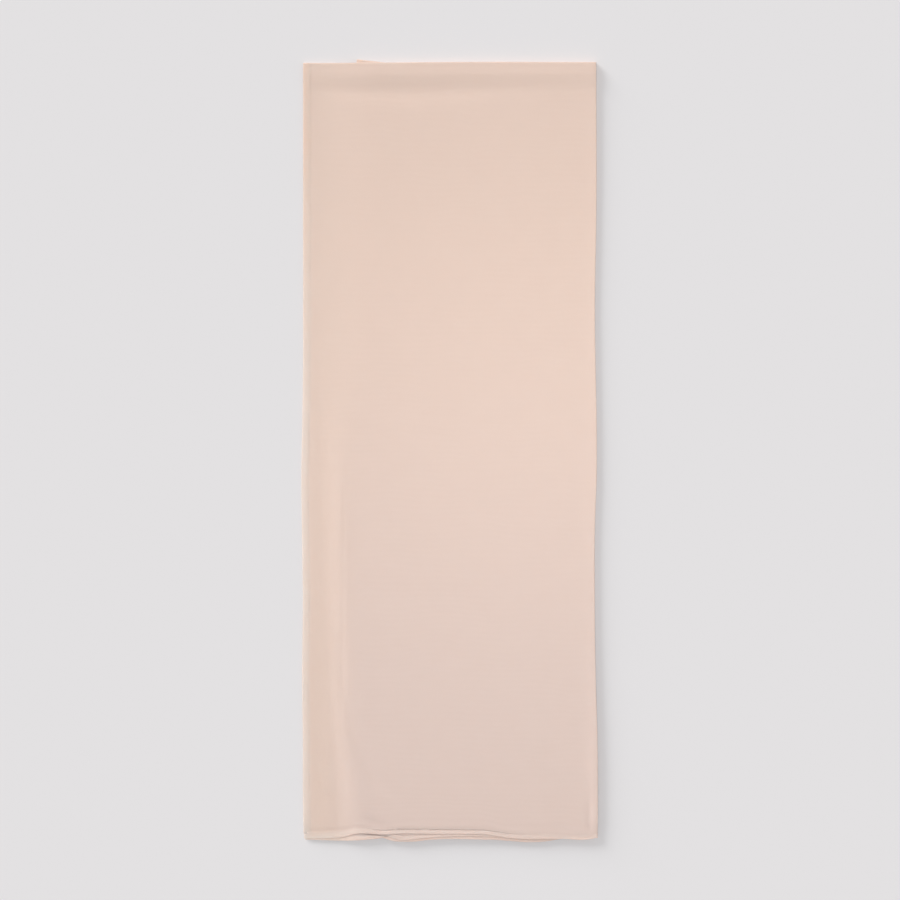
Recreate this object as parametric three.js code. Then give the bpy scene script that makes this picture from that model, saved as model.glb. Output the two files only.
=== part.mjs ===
// Georgette scarf, folded in four and laid flat. Millimetres, +Z up.
//
// The cut is one hemmed rectangle, 700 x 2000. It is folded in half across its
// length, with that crease at +Y, and then once along its length, with that
// fold at +X and the far part turned underneath. The far part is narrower, so
// along the -X side a strip of the front pair of layers lies on the table.
//
// Layers from the top: front panel, inner front, inner back, back panel. The two
// inner layers are hidden and share one rounded solid, layered at its edges.
// The origin is at the middle of the footprint, on the surface it lies on.

import * as THREE from 'three';
import { mergeVertices } from 'three/addons/utils/BufferGeometryUtils.js';

const { clamp, lerp, degToRad } = THREE.MathUtils;

// Driving dimensions
const HALF_WIDTH = 188;
const END_Y = -500;
const CREASE_Y = 498;
const BACK_EDGE_X = -122;
const WALL = 1.2;
const GAP = 0.3;
const HEM_WIDTH = 10;
const HEM_THICKNESS = 1.6;
const STRIP_TOP = 3.0;
const PLATEAU_TOP = 6.3;
const STEP_START_X = -160;
const STEP_END_X = -125;
const OPEN_ROLL_HEIGHT = 0.9;
const FRONT_ROLL_RADIUS = 2.1;
const BACK_ROLL_RADIUS = 1.9;
const INNER_HEM_INSET = 1.2;

// Sides of the folded scarf along its length: the open side, the free edge of
// the back pair underneath it, and the long fold
const SIDES = [
  { y: -500, open: -187.0, back: -126.0, fold: 189.6 },
  { y: -440, open: -188.0, back: -128.0, fold: 189.9 },
  { y: -370, open: -188.0, back: -130.0, fold: 189.4 },
  { y: -290, open: -189.0, back: -130.0, fold: 187.2 },
  { y: -200, open: -188.0, back: -129.0, fold: 186.0 },
  { y: -100, open: -189.2, back: -128.5, fold: 186.2 },
  { y: -30, open: -189.9, back: -128.0, fold: 188.5 },
  { y: 30, open: -188.8, back: -127.0, fold: 188.5 },
  { y: 110, open: -187.8, back: -125.0, fold: 187.0 },
  { y: 180, open: -187.6, back: -123.5, fold: 186.2 },
  { y: 300, open: -187.6, back: -121.0, fold: 188.0 },
  { y: 498, open: -187.6, back: -118.7, fold: 187.8 },
];

// Lower edges of the four layers at the open end
const FRONT_END = [
  { x: -188, y: -498.8 },
  { x: -158, y: -498.2 },
  { x: -134, y: -496.8 },
  { x: -112, y: -491.6 },
  { x: -84, y: -493.0 },
  { x: -58, y: -491.8 },
  { x: 48, y: -493.0 },
  { x: 64, y: -496.6 },
  { x: 76, y: -498.5 },
  { x: 118, y: -499.7 },
  { x: 138, y: -498.6 },
  { x: 178, y: -499.6 },
];
const INNER_FRONT_END = [
  { x: -188, y: -500.0 },
  { x: -112, y: -500.4 },
  { x: -84, y: -497.4 },
  { x: -70, y: -493.6 },
  { x: -58, y: -492.2 },
  { x: 48, y: -491.6 },
  { x: 76, y: -496.0 },
  { x: 178, y: -497.0 },
];
const INNER_BACK_END = [
  { x: -122, y: -494.0 },
  { x: -76, y: -496.2 },
  { x: -58, y: -500.8 },
  { x: -43, y: -499.2 },
  { x: -12, y: -496.4 },
  { x: 56, y: -496.2 },
  { x: 118, y: -500.2 },
  { x: 138, y: -498.2 },
  { x: 178, y: -497.5 },
];
const BACK_END = [
  { x: -122, y: -495.0 },
  { x: -84, y: -497.0 },
  { x: -70, y: -501.4 },
  { x: -58, y: -502.2 },
  { x: -43, y: -502.1 },
  { x: -30, y: -500.5 },
  { x: 48, y: -499.6 },
  { x: 118, y: -502.2 },
  { x: 138, y: -499.0 },
  { x: 178, y: -497.0 },
];

// Creases of the front and the back pair of layers
const FRONT_CREASE = [
  { x: -188, y: 497.4 },
  { x: -112, y: 497.2 },
  { x: 20, y: 498.2 },
  { x: 178, y: 498.0 },
];
const BACK_CREASE = [
  { x: -122, y: 502.2 },
  { x: -98, y: 499.6 },
  { x: -84, y: 498.0 },
  { x: -58, y: 498.4 },
  { x: 178, y: 498.2 },
];

// Largest folds pressed into the stack: soft troughs (height below 0) and
// ridges along straight centre lines, half the width of each at 1/e
const FOLDS = [
  { x0: -150, y0: 467, x1: 120, y1: 469, halfWidth: 12, height: -0.8 },
  { x0: -131, y0: -250, x1: -112, y1: -390, halfWidth: 9, height: -0.7 },
  { x0: -112, y0: -390, x1: -88, y1: -424, halfWidth: 8, height: -0.7 },
  { x0: -139, y0: 110, x1: -141, y1: -440, halfWidth: 12, height: 0.7 },
  { x0: 176, y0: 420, x1: 177, y1: -400, halfWidth: 9, height: 0.4 },
];

// Stations across and along, set where the outline and the folds turn
const STRIP_STATIONS = [-168, -158, -150, -142, -134, -127];
const PLATEAU_STATIONS = [
  -112, -98, -84, -76, -70, -58, -43, -30, -12, 20, 48, 56, 64, 76, 118, 138, 160, 178,
];
const FIRST_ROW_Y = -474;
const LAST_ROW_Y = 440;
const FRONT_ROWS = [
  FIRST_ROW_Y, -440, -405, -370, -330, -290, -245, -200, -150, -100, -30, 30, 110, 180, 240,
  300, 370, LAST_ROW_Y,
];
const BACK_ROWS = [
  FIRST_ROW_Y, -440, -370, -290, -200, -100, -30, 30, 110, 180, 300, LAST_ROW_Y,
];
const ROLL_ROWS = [456, 468, 479, 487, 493];
const TURN_FACETS = 4;
const TURN_SWEEP = degToRad(86);
const NOSE_SWEEP = degToRad(60);

// Places derived from the dimensions
const HEM_PITCH = HEM_THICKNESS + GAP;
const PAIR_PITCH = 2 * HEM_PITCH;
const END_STRIP_TOP = HEM_PITCH + WALL;
const END_PLATEAU_TOP = END_STRIP_TOP + PAIR_PITCH;
const END_FOLD_LEVEL = (PAIR_PITCH + HEM_PITCH + HEM_THICKNESS) / 2;
const HEM_LINE = HEM_WIDTH + GAP;
const HEM_STEP = HEM_THICKNESS - WALL;
const FOLD_START_X = HALF_WIDTH - END_FOLD_LEVEL;
const CREASE_START_Y = CREASE_Y - FRONT_ROLL_RADIUS;
const HEM_ROUNDING = HEM_THICKNESS / 2;
const BACK_CLEAR_X = BACK_EDGE_X - 2 * GAP;
const BACK_CLEAR_STATIONS = [BACK_CLEAR_X - GAP, BACK_CLEAR_X];

function ease(t) {
  const s = clamp(t, 0, 1);
  return s * s * (3 - 2 * s);
}

// Value of a table's column where its key column has the given value, eased
// from row to row and held past the ends.
function read(rows, key, column, at) {
  const next = rows.findIndex((row) => row[key] >= at);
  if (next === 0) return rows[0][column];
  if (next < 0) return rows[rows.length - 1][column];
  const low = rows[next - 1];
  const high = rows[next];
  return lerp(low[column], high[column], ease((at - low[key]) / (high[key] - low[key])));
}

// 0 on the strip that lies on the table, 1 on the part over the back pair
function stepUp(x) {
  return ease((x - STEP_START_X) / (STEP_END_X - STEP_START_X));
}

// 1 where the hems of the open end are stacked, 0 away from them
function nearEnd(y) {
  const fade = 60;
  return 1 - ease((y - FIRST_ROW_Y) / fade);
}

// 1 at the crease, 0 behind the roll that it makes
function nearCrease(y) {
  const rollDepth = 16;
  return 1 - ease((CREASE_START_Y - y) / rollDepth);
}

// Height of one soft straight fold at a point, tapered past both of its ends.
function foldHeight(fold, x, y) {
  const dx = fold.x1 - fold.x0;
  const dy = fold.y1 - fold.y0;
  const length = Math.hypot(dx, dy);
  const forward = ((x - fold.x0) * dx + (y - fold.y0) * dy) / length;
  const aside = ((x - fold.x0) * dy - (y - fold.y0) * dx) / length;
  const past = Math.max(-forward, forward - length, 0);
  const taper = 3 * fold.halfWidth;
  return fold.height * Math.exp(-((aside / fold.halfWidth) ** 2) - (past / taper) ** 2);
}

// Level of the front panel's upper face, without the roll of the open side.
function stackHeight(x, y) {
  const step = stepUp(x);
  const end = nearEnd(y);
  const crease = nearCrease(y);
  const flat = lerp(STRIP_TOP, PLATEAU_TOP, step);
  const overHems = lerp(END_STRIP_TOP, END_PLATEAU_TOP, step);
  const rolled = 2 * (FRONT_ROLL_RADIUS + BACK_ROLL_RADIUS * step);
  const folds = FOLDS.reduce((sum, fold) => sum + foldHeight(fold, x, y), 0);
  const level = lerp(lerp(flat, overHems, end), rolled, crease);
  return level + folds * (1 - end) * (1 - crease) * Math.max(step, 0.3);
}

// Level of the front panel's upper face, with the open side curled a little up.
function frontHeight(x, y) {
  const flatHem = 4;
  const fade = 16;
  const curl = 1 - ease((x + HALF_WIDTH - flatHem) / fade);
  const kept = (1 - nearCrease(y)) * (1 - nearEnd(y) / 2);
  return stackHeight(x, y) + OPEN_ROLL_HEIGHT * curl * kept;
}

// Middle level of the long fold, and so its outer radius on a flat table
function foldLevel(y) {
  return lerp(stackHeight(FOLD_START_X, y) / 2, END_FOLD_LEVEL, nearEnd(y));
}

// Plan position of a nominal x, pulled to the sides of the outline.
function planX(x, y) {
  const back = read(SIDES, 'y', 'back', y);
  if (x < BACK_EDGE_X) {
    const open = read(SIDES, 'y', 'open', y);
    return lerp(open, back, (x + HALF_WIDTH) / (BACK_EDGE_X + HALF_WIDTH));
  }
  const fold = read(SIDES, 'y', 'fold', y);
  return lerp(back, fold, (x - BACK_EDGE_X) / (HALF_WIDTH - BACK_EDGE_X));
}

// Plan position of a nominal y, pulled to a layer's own lower edge and crease.
function planY(x, y, end, crease) {
  const reach = 60;
  const atEnd = ease((END_Y + reach - y) / (END_Y + reach - FIRST_ROW_Y));
  const atCrease = ease((y - LAST_ROW_Y) / (ROLL_ROWS[2] - LAST_ROW_Y));
  const endShift = read(end, 'x', 'y', x) - END_Y;
  const creaseShift = read(crease, 'x', 'y', x) - CREASE_Y;
  return y + endShift * atEnd + creaseShift * atCrease;
}

// The two rolls that the creases make: radius and level of the axis
const FRONT_ROLL = {
  crease: FRONT_CREASE,
  radius: FRONT_ROLL_RADIUS,
  level: (x) => stackHeight(x, CREASE_START_Y) - FRONT_ROLL_RADIUS,
};
const BACK_ROLL = {
  crease: BACK_CREASE,
  radius: BACK_ROLL_RADIUS,
  level: () => BACK_ROLL_RADIUS,
};

// A point of one face of a layer, turned round the long fold by the column's
// angle and round the crease by the row's. Each radius is the face's distance
// from that fold's axis, and side is 1 for the upper layers, -1 for the lower.
function facePoint(face, column, row) {
  const { height, side, roll, end } = face;
  const level = foldLevel(row.y);
  const foldRadius = side * (height(FOLD_START_X, row.y) - level);
  const rollRadius = side * (height(column.x, row.y) - roll.level(column.x));
  const around = 1 - Math.cos(column.turn);
  const over = 1 - Math.cos(row.turn);
  const fold = read(SIDES, 'y', 'fold', row.y);
  const crease = read(roll.crease, 'x', 'y', column.x);
  const x = column.atFold
    ? fold - level + foldRadius * Math.sin(column.turn)
    : planX(column.x, row.y);
  const y = row.atCrease
    ? crease - roll.radius + rollRadius * Math.sin(row.turn)
    : planY(column.x, row.y, end, roll.crease);
  const drop = foldRadius * around + rollRadius * over * (1 - around);
  return new THREE.Vector3(x, y, height(column.x, row.y) - side * drop);
}

// Columns at the given x, with the turn of the long fold after the last one
function columnsAt(xs, sweep = 0) {
  const columns = xs.map((x) => ({ x, turn: 0, atFold: false }));
  if (sweep === 0) return columns;
  for (let n = 0; n <= TURN_FACETS; n += 1) {
    columns.push({ x: FOLD_START_X, turn: (sweep * n) / TURN_FACETS, atFold: true });
  }
  return columns;
}

// Rows at the given y, with the turn of the crease after the last one
function rowsAt(ys, facets = 0, sweep = TURN_SWEEP) {
  const rows = ys.map((y) => ({ y, turn: 0, atCrease: false }));
  if (facets === 0) return rows;
  for (let n = 0; n <= facets; n += 1) {
    rows.push({ y: CREASE_START_Y, turn: (sweep * n) / facets, atCrease: true });
  }
  return rows;
}

// A closed body over a grid of columns and rows: an upper and a lower face, and
// rims round them in a number of levels. rim moves the points in between.
function slab({ columns, rows, levels = 1, upper, lower, rim = () => {} }) {
  const lastColumn = columns.length - 1;
  const lastRow = rows.length - 1;
  const points = [];
  const faces = [];
  const index = new Map();
  const vertex = (i, j, k) => {
    const key = `${i} ${j} ${k}`;
    if (!index.has(key)) {
      const point = lower(columns[i], rows[j]).lerp(upper(columns[i], rows[j]), k / levels);
      if (k > 0 && k < levels) rim(point, i, j, k / levels);
      index.set(key, points.length / 3);
      points.push(point.x, point.y, point.z);
    }
    return index.get(key);
  };
  const quad = (...corners) => {
    const [a, b, c, d] = corners.map((corner) => vertex(...corner));
    faces.push(a, b, c, a, c, d);
  };
  for (let i = 0; i < lastColumn; i += 1) {
    for (let j = 0; j < lastRow; j += 1) {
      quad([i, j, levels], [i + 1, j, levels], [i + 1, j + 1, levels], [i, j + 1, levels]);
      quad([i, j, 0], [i, j + 1, 0], [i + 1, j + 1, 0], [i + 1, j, 0]);
    }
  }
  for (let k = 0; k < levels; k += 1) {
    for (let i = 0; i < lastColumn; i += 1) {
      quad([i, 0, k], [i + 1, 0, k], [i + 1, 0, k + 1], [i, 0, k + 1]);
      quad([i + 1, lastRow, k], [i, lastRow, k], [i, lastRow, k + 1], [i + 1, lastRow, k + 1]);
    }
    for (let j = 0; j < lastRow; j += 1) {
      quad([0, j + 1, k], [0, j, k], [0, j, k + 1], [0, j + 1, k + 1]);
      quad(
        [lastColumn, j, k], [lastColumn, j + 1, k],
        [lastColumn, j + 1, k + 1], [lastColumn, j, k + 1],
      );
    }
  }
  const geometry = new THREE.BufferGeometry();
  geometry.setAttribute('position', new THREE.Float32BufferAttribute(points, 3));
  geometry.setIndex(faces);
  return mergeVertices(geometry, 1e-3);
}

// A single layer as a wall between its outer face and that face moved inwards.
function wall({ height, thickness, side, roll, end, columns, rows, levels, rim }) {
  const outer = { height, side, roll, end };
  const inner = { ...outer, height: (x, y) => height(x, y) - side * thickness };
  const [top, bottom] = side > 0 ? [outer, inner] : [inner, outer];
  return slab({
    columns,
    rows,
    levels,
    upper: (column, row) => facePoint(top, column, row),
    lower: (column, row) => facePoint(bottom, column, row),
    rim,
  });
}

const HEM_LINE_Y = END_Y + HEM_LINE;
const HEM_LINE_X = -HALF_WIDTH + HEM_LINE;
const BACK_HEM_LINE_X = BACK_EDGE_X + HEM_LINE;
const acrossFront = [HEM_LINE_X, ...STRIP_STATIONS, ...BACK_CLEAR_STATIONS, ...PLATEAU_STATIONS];
const acrossBack = [BACK_HEM_LINE_X, ...PLATEAU_STATIONS.slice(1)];
const ROLL_FACETS = 3;

// Front panel: the visible layer, over the crease and halfway round the fold
function frontPanel() {
  return wall({
    height: frontHeight,
    thickness: WALL,
    side: 1,
    roll: FRONT_ROLL,
    end: FRONT_END,
    columns: columnsAt(acrossFront, TURN_SWEEP),
    rows: rowsAt([HEM_LINE_Y, ...FRONT_ROWS, ...ROLL_ROWS], ROLL_FACETS),
  });
}

// Back panel: the flat underside, turned up at the crease and at the fold
function backPanel() {
  return wall({
    height: () => 0,
    thickness: WALL,
    side: -1,
    roll: BACK_ROLL,
    end: BACK_END,
    columns: columnsAt(acrossBack, TURN_SWEEP),
    rows: rowsAt([HEM_LINE_Y, ...BACK_ROWS, ...ROLL_ROWS], ROLL_FACETS),
  });
}

// Bulge of a hem's turned edge on the rim that faces out, along one axis.
function roundedEdge(axis, atRim) {
  return (point, i, j, w) => {
    if (atRim(i, j)) point[axis] -= HEM_ROUNDING * Math.sin(Math.PI * w);
  };
}

// A hem along one side: a band of doubled cloth from the edge to the hem line.
function sideHem({ edgeX, lineX, height, side, roll, end, rows }) {
  return wall({
    height,
    thickness: HEM_THICKNESS,
    side,
    roll,
    end,
    columns: columnsAt([edgeX + HEM_ROUNDING, lineX]),
    rows,
    levels: 2,
    rim: roundedEdge('x', (i) => i === 0),
  });
}

// A hem along the open end, carried round the long fold with its layer.
function endHem({ xs, sweep = TURN_SWEEP, height, side, roll, end }) {
  return wall({
    height,
    thickness: HEM_THICKNESS,
    side,
    roll,
    end,
    columns: columnsAt(xs, sweep),
    rows: rowsAt([END_Y + HEM_ROUNDING, END_Y + HEM_WIDTH]),
    levels: 2,
    rim: roundedEdge('y', (i, j) => j === 0),
  });
}

// Underside of the hidden layers: on the table along the strip, and on the back
// panel and its hems elsewhere.
function innerFloor(x, y) {
  if (x < BACK_CLEAR_X) return 0;
  const onSideHem = x < BACK_HEM_LINE_X ? 1 : 0;
  return WALL + GAP + HEM_STEP * Math.max(nearEnd(y), onSideHem);
}

// Hidden layers: inner front and inner back as one solid. Its end steps back
// between the two, its right side is a nose inside the long fold, and at the
// crease it fills the lower half of the front roll and the upper half of the
// back roll, with the groove between them.
function foldedInside() {
  const top = {
    height: (x, y) => stackHeight(x, y) - WALL - GAP,
    side: 1,
    roll: FRONT_ROLL,
    end: INNER_FRONT_END,
  };
  const bottom = { height: innerFloor, side: -1, roll: BACK_ROLL, end: INNER_BACK_END };
  const columns = columnsAt(acrossFront, NOSE_SWEEP);
  const noseFacets = 2;
  const rows = rowsAt([HEM_LINE_Y, ...FRONT_ROWS, ...ROLL_ROWS], noseFacets, Math.PI / 2);
  rows.push({ ...rows[rows.length - 1], lip: true });
  const lastRow = rows.length - 1;
  const recessStart = 138;
  const recess = 30;
  const lipReach = (column) => 1 - ease((column.x - recessStart) / recess);
  const onStrip = (column) => column.x < BACK_CLEAR_X;
  const axisY = (roll, column) => read(roll.crease, 'x', 'y', column.x) - roll.radius;

  const upper = (column, row) => {
    const point = facePoint(top, column, row);
    if (row.turn > NOSE_SWEEP) point.z -= GAP / 2;
    if (row.lip) {
      const reach = lerp(WALL, FRONT_ROLL.radius, lipReach(column));
      point.y = axisY(FRONT_ROLL, column) + reach;
      point.z -= GAP / 2;
    }
    return point;
  };
  const lower = (column, row) => {
    const point = facePoint(bottom, column, row);
    if (onStrip(column)) {
      const lead = 0.4;
      const n = rows.indexOf(row);
      point.z = 0;
      point.y = planY(column.x, row.y, INNER_FRONT_END, FRONT_CREASE);
      if (row.atCrease) point.y = axisY(FRONT_ROLL, column) - lead * (lastRow - n);
      return point;
    }
    if (row.turn > 0) point.z += GAP / 2;
    if (row.lip) {
      const reach = lerp(WALL / 2, BACK_ROLL.radius, lipReach(column));
      point.y = axisY(BACK_ROLL, column) + reach;
      point.z += GAP / 2;
    }
    return point;
  };
  const arcPoint = (roll, column, angle) => ({
    y: axisY(roll, column) + roll.radius * Math.sin(angle),
    z: roll.level(column.x) + roll.radius * Math.cos(angle),
  });
  const rim = (point, i, j, w) => {
    const column = columns[i];
    if (j === lastRow) {
      const strip = arcPoint(FRONT_ROLL, column, Math.PI * (1 - w / 2));
      const lobes = [
        arcPoint(BACK_ROLL, column, Math.PI / 4),
        { y: axisY(FRONT_ROLL, column) + GAP, z: 2 * BACK_ROLL.radius },
        arcPoint(FRONT_ROLL, column, (Math.PI * 3) / 4),
      ];
      const goal = onStrip(column) ? strip : lobes[Math.round(4 * w) - 1];
      const weight = onStrip(column) ? 1 : lipReach(column);
      point.y = lerp(point.y, goal.y, weight);
      point.z = lerp(point.z, goal.z, weight);
    }
    if (j === 0 && !onStrip(column)) {
      const grooveDepth = 3;
      const layerShare = 0.35;
      const high = upper(column, rows[0]);
      const low = lower(column, rows[0]);
      const steps = [
        { y: low.y, z: lerp(low.z, high.z, layerShare) },
        { y: Math.max(low.y, high.y) + grooveDepth, z: (low.z + high.z) / 2 },
        { y: high.y, z: lerp(high.z, low.z, layerShare) },
      ];
      Object.assign(point, steps[Math.round(4 * w) - 1]);
    }
  };
  return slab({ columns, rows, levels: 4, upper, lower, rim });
}

const frontSideRows = rowsAt([END_Y, HEM_LINE_Y, ...FRONT_ROWS, ...ROLL_ROWS], ROLL_FACETS);
const backSideRows = rowsAt([END_Y, HEM_LINE_Y, ...BACK_ROWS, ...ROLL_ROWS], ROLL_FACETS);
const innerFrontHeight = (x, y) => stackHeight(x, y) - WALL - GAP;

const CLOTH = { color: 0xe3c6b6, roughness: 0.88, metalness: 0 };
const HIDDEN_CLOTH = { color: 0xdcbcab, roughness: 0.9, metalness: 0 };
const HEM = { color: 0xe9d0c2, roughness: 0.86, metalness: 0 };

const PIECES = [
  { name: 'front_panel', finish: CLOTH, geometry: frontPanel() },
  { name: 'back_panel', finish: CLOTH, geometry: backPanel() },
  { name: 'folded_inside', finish: HIDDEN_CLOTH, geometry: foldedInside() },
  {
    name: 'front_side_hem',
    finish: HEM,
    geometry: sideHem({
      edgeX: -HALF_WIDTH,
      lineX: -HALF_WIDTH + HEM_WIDTH,
      height: (x, y) => frontHeight(x, y) + HEM_STEP,
      side: 1,
      roll: FRONT_ROLL,
      end: FRONT_END,
      rows: frontSideRows,
    }),
  },
  {
    name: 'inner_side_hem',
    finish: HEM,
    geometry: sideHem({
      edgeX: -HALF_WIDTH + INNER_HEM_INSET,
      lineX: -HALF_WIDTH + HEM_WIDTH,
      height: () => 0,
      side: -1,
      roll: FRONT_ROLL,
      end: INNER_FRONT_END,
      rows: frontSideRows,
    }),
  },
  {
    name: 'back_side_hem',
    finish: HEM,
    geometry: sideHem({
      edgeX: BACK_EDGE_X,
      lineX: BACK_EDGE_X + HEM_WIDTH,
      height: () => 0,
      side: -1,
      roll: BACK_ROLL,
      end: BACK_END,
      rows: backSideRows,
    }),
  },
  {
    name: 'front_end_hem',
    finish: HEM,
    geometry: endHem({
      xs: acrossFront,
      height: (x, y) => stackHeight(x, y) + HEM_STEP,
      side: 1,
      roll: FRONT_ROLL,
      end: FRONT_END,
    }),
  },
  {
    name: 'inner_front_end_hem',
    finish: HEM,
    geometry: endHem({
      xs: acrossFront,
      sweep: NOSE_SWEEP,
      height: innerFrontHeight,
      side: 1,
      roll: FRONT_ROLL,
      end: INNER_FRONT_END,
    }),
  },
  {
    name: 'inner_back_end_hem',
    finish: HEM,
    geometry: endHem({
      xs: [BACK_EDGE_X, ...PLATEAU_STATIONS],
      sweep: NOSE_SWEEP,
      height: () => HEM_PITCH,
      side: -1,
      roll: BACK_ROLL,
      end: INNER_BACK_END,
    }),
  },
  {
    name: 'back_end_hem',
    finish: HEM,
    geometry: endHem({
      xs: acrossBack,
      height: () => 0,
      side: -1,
      roll: BACK_ROLL,
      end: BACK_END,
    }),
  },
];

const scarf = new THREE.Group();
scarf.name = 'georgette_scarf';
for (const { name, finish, geometry } of PIECES) {
  const mesh = new THREE.Mesh(geometry, new THREE.MeshStandardMaterial(finish));
  mesh.name = name;
  scarf.add(mesh);
}

export default scarf;
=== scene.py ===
"""Georgette scarf folded in four and laid flat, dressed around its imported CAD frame.

The cloth is one continuous sheet: over the crease at +Y, round the long fold at +X, and
back underneath. Four narrow hems run along its edges, each with its own stitching.
Sizes are in millimetres in the classes and become metres where a mesh is made.
"""

import logging
import math
from dataclasses import dataclass, field
from enum import Enum

import bpy
import numpy as np
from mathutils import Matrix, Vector


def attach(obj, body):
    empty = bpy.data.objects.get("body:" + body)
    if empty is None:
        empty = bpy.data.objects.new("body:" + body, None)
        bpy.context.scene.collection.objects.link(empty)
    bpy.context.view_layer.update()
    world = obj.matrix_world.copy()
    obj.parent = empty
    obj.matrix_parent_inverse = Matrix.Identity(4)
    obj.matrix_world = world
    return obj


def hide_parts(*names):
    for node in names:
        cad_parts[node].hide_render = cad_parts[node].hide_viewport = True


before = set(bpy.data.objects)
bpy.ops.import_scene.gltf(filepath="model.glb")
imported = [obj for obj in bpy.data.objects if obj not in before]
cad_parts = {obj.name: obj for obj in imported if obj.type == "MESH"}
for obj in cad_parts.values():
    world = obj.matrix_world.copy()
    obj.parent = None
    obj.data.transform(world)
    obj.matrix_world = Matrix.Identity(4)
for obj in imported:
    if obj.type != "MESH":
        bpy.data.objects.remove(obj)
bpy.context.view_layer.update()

MM = 0.001
CUT_MAP = "Cut"
Array = np.ndarray
log = logging.getLogger("scarf")


# Numbers and curves


def ease(t: Array) -> Array:
    """Smoothstep: 3 t^2 - 2 t^3 with t held between 0 and 1."""
    s = np.clip(t, 0.0, 1.0)
    return s * s * (3.0 - 2.0 * s)


def lerp(a: Array, b: Array, t: Array) -> Array:
    """Straight blend from a to b."""
    return a + (b - a) * t


def read(rows: Array, column: int, at: Array) -> Array:
    """Value of a table's column on a smooth line through its rows, held past the ends.

    A cubic Hermite curve: from row to row it starts and ends with the slopes that the
    neighbouring rows give.

    Args:
        rows: the table, with its key in column 0, rising.
        column: the column to read.
        at: keys to read it at.

    Returns:
        The values at those keys.
    """
    keys, values = rows[:, 0], rows[:, column]
    slopes = np.gradient(values, keys)
    held = np.clip(at, keys[0], keys[-1])
    low = np.clip(np.searchsorted(keys, held) - 1, 0, len(keys) - 2)
    span = keys[low + 1] - keys[low]
    t = (held - keys[low]) / span
    bend_low = (1 + 2 * t) * (1 - t) ** 2 * values[low] + t * (1 - t) ** 2 * span * slopes[low]
    bend_high = t * t * (3 - 2 * t) * values[low + 1] - t * t * (1 - t) * span * slopes[low + 1]
    return bend_low + bend_high


def blunt(turn: Array, power: float) -> tuple[Array, Array]:
    """Cosine and sine of a turn on a superellipse of that power; 2 gives a half round."""
    c, s = np.cos(turn), np.clip(np.sin(turn), 0.0, 1.0)
    return np.sign(c) * np.abs(c) ** (2 / power), s ** (2 / power)


def stations(*stretches: tuple[float, float, float]) -> Array:
    """Stations along a line, evenly spaced on each stretch and joined in order.

    Args:
        stretches: start, stop and largest step of each stretch.

    Returns:
        The stations, each only once.
    """
    parts = [
        np.linspace(start, stop, max(2, int(math.ceil(abs(stop - start) / step)) + 1))
        for start, stop, step in stretches
    ]
    return np.concatenate([parts[0]] + [part[1:] for part in parts[1:]])


# The folded form


class Run(Enum):
    """Which way a pressed-in fold runs."""

    ALONG = 1
    ACROSS = 0


@dataclass(frozen=True)
class Fold:
    """A soft trough (height below 0) or ridge that wanders along one axis.

    Its rows give, from end to end: place along it, place of its centre line, half width
    at 1/e, and height.
    """

    run: Run
    rows: tuple[tuple[float, float, float, float], ...]

    def height(self, x: Array, y: Array) -> Array:
        """Height times a Gaussian of the distance from the centre line, none past its ends.

        Args:
            x: nominal places across.
            y: nominal places along.

        Returns:
            Heights to add to the cloth's level.
        """
        table = np.array(self.rows, float)
        table = table[np.argsort(table[:, 0])]
        forward, aside = (y, x) if self.run is Run.ALONG else (x, y)
        centre, half_width, height = (read(table, n, forward) for n in (1, 2, 3))
        inside = (forward > table[0, 0]) & (forward < table[-1, 0])
        return inside * height * np.exp(-(((aside - centre) / half_width) ** 2))


# Columns: y, open side, free edge of the back pair, long fold
SIDES = np.array(
    [
        (-500, -187.0, -126.0, 189.6),
        (-440, -188.0, -128.0, 189.9),
        (-370, -188.0, -130.0, 189.4),
        (-290, -189.0, -130.0, 187.2),
        (-200, -188.0, -129.0, 186.0),
        (-100, -189.2, -128.5, 186.2),
        (-30, -189.9, -128.0, 188.5),
        (30, -188.8, -127.0, 188.5),
        (110, -187.8, -125.0, 187.0),
        (180, -187.6, -123.5, 186.2),
        (300, -187.6, -121.0, 188.0),
        (498, -187.6, -118.7, 187.8),
    ],
    float,
)

# Lower edges of the four layers. Columns: x, y
FRONT_END = np.array(
    [
        (-188, -498.8),
        (-158, -498.2),
        (-134, -496.8),
        (-112, -491.6),
        (-84, -493.0),
        (-58, -491.8),
        (-25, -492.1),
        (20, -492.5),
        (48, -493.2),
        (64, -496.0),
        (76, -497.5),
        (118, -498.6),
        (138, -498.4),
        (176, -498.8),
        (185, -496.8),
    ],
    float,
)
INNER_FRONT_END = np.array(
    [
        (-188, -500.0),
        (-112, -500.4),
        (-84, -497.4),
        (-70, -493.6),
        (-58, -492.2),
        (0, -492.0),
        (48, -491.6),
        (76, -496.0),
        (178, -497.0),
    ],
    float,
)
INNER_BACK_END = np.array(
    [
        (-122, -494.0),
        (-76, -496.2),
        (-58, -500.8),
        (-43, -499.2),
        (-12, -496.4),
        (56, -496.2),
        (118, -500.2),
        (138, -498.2),
        (178, -497.5),
    ],
    float,
)
BACK_END = np.array(
    [
        (-122, -495.0),
        (-84, -497.0),
        (-70, -501.4),
        (-58, -502.2),
        (-43, -502.1),
        (-30, -500.5),
        (48, -499.6),
        (118, -502.2),
        (138, -499.0),
        (178, -497.0),
    ],
    float,
)

# Creases of the two pairs. Columns: x, y
FRONT_CREASE = np.array([(-188, 497.4), (-112, 497.2), (20, 498.2), (178, 498.0)], float)
BACK_CREASE = np.array(
    [(-122, 502.2), (-98, 499.6), (-84, 498.0), (-58, 498.4), (178, 498.2)], float
)

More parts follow.
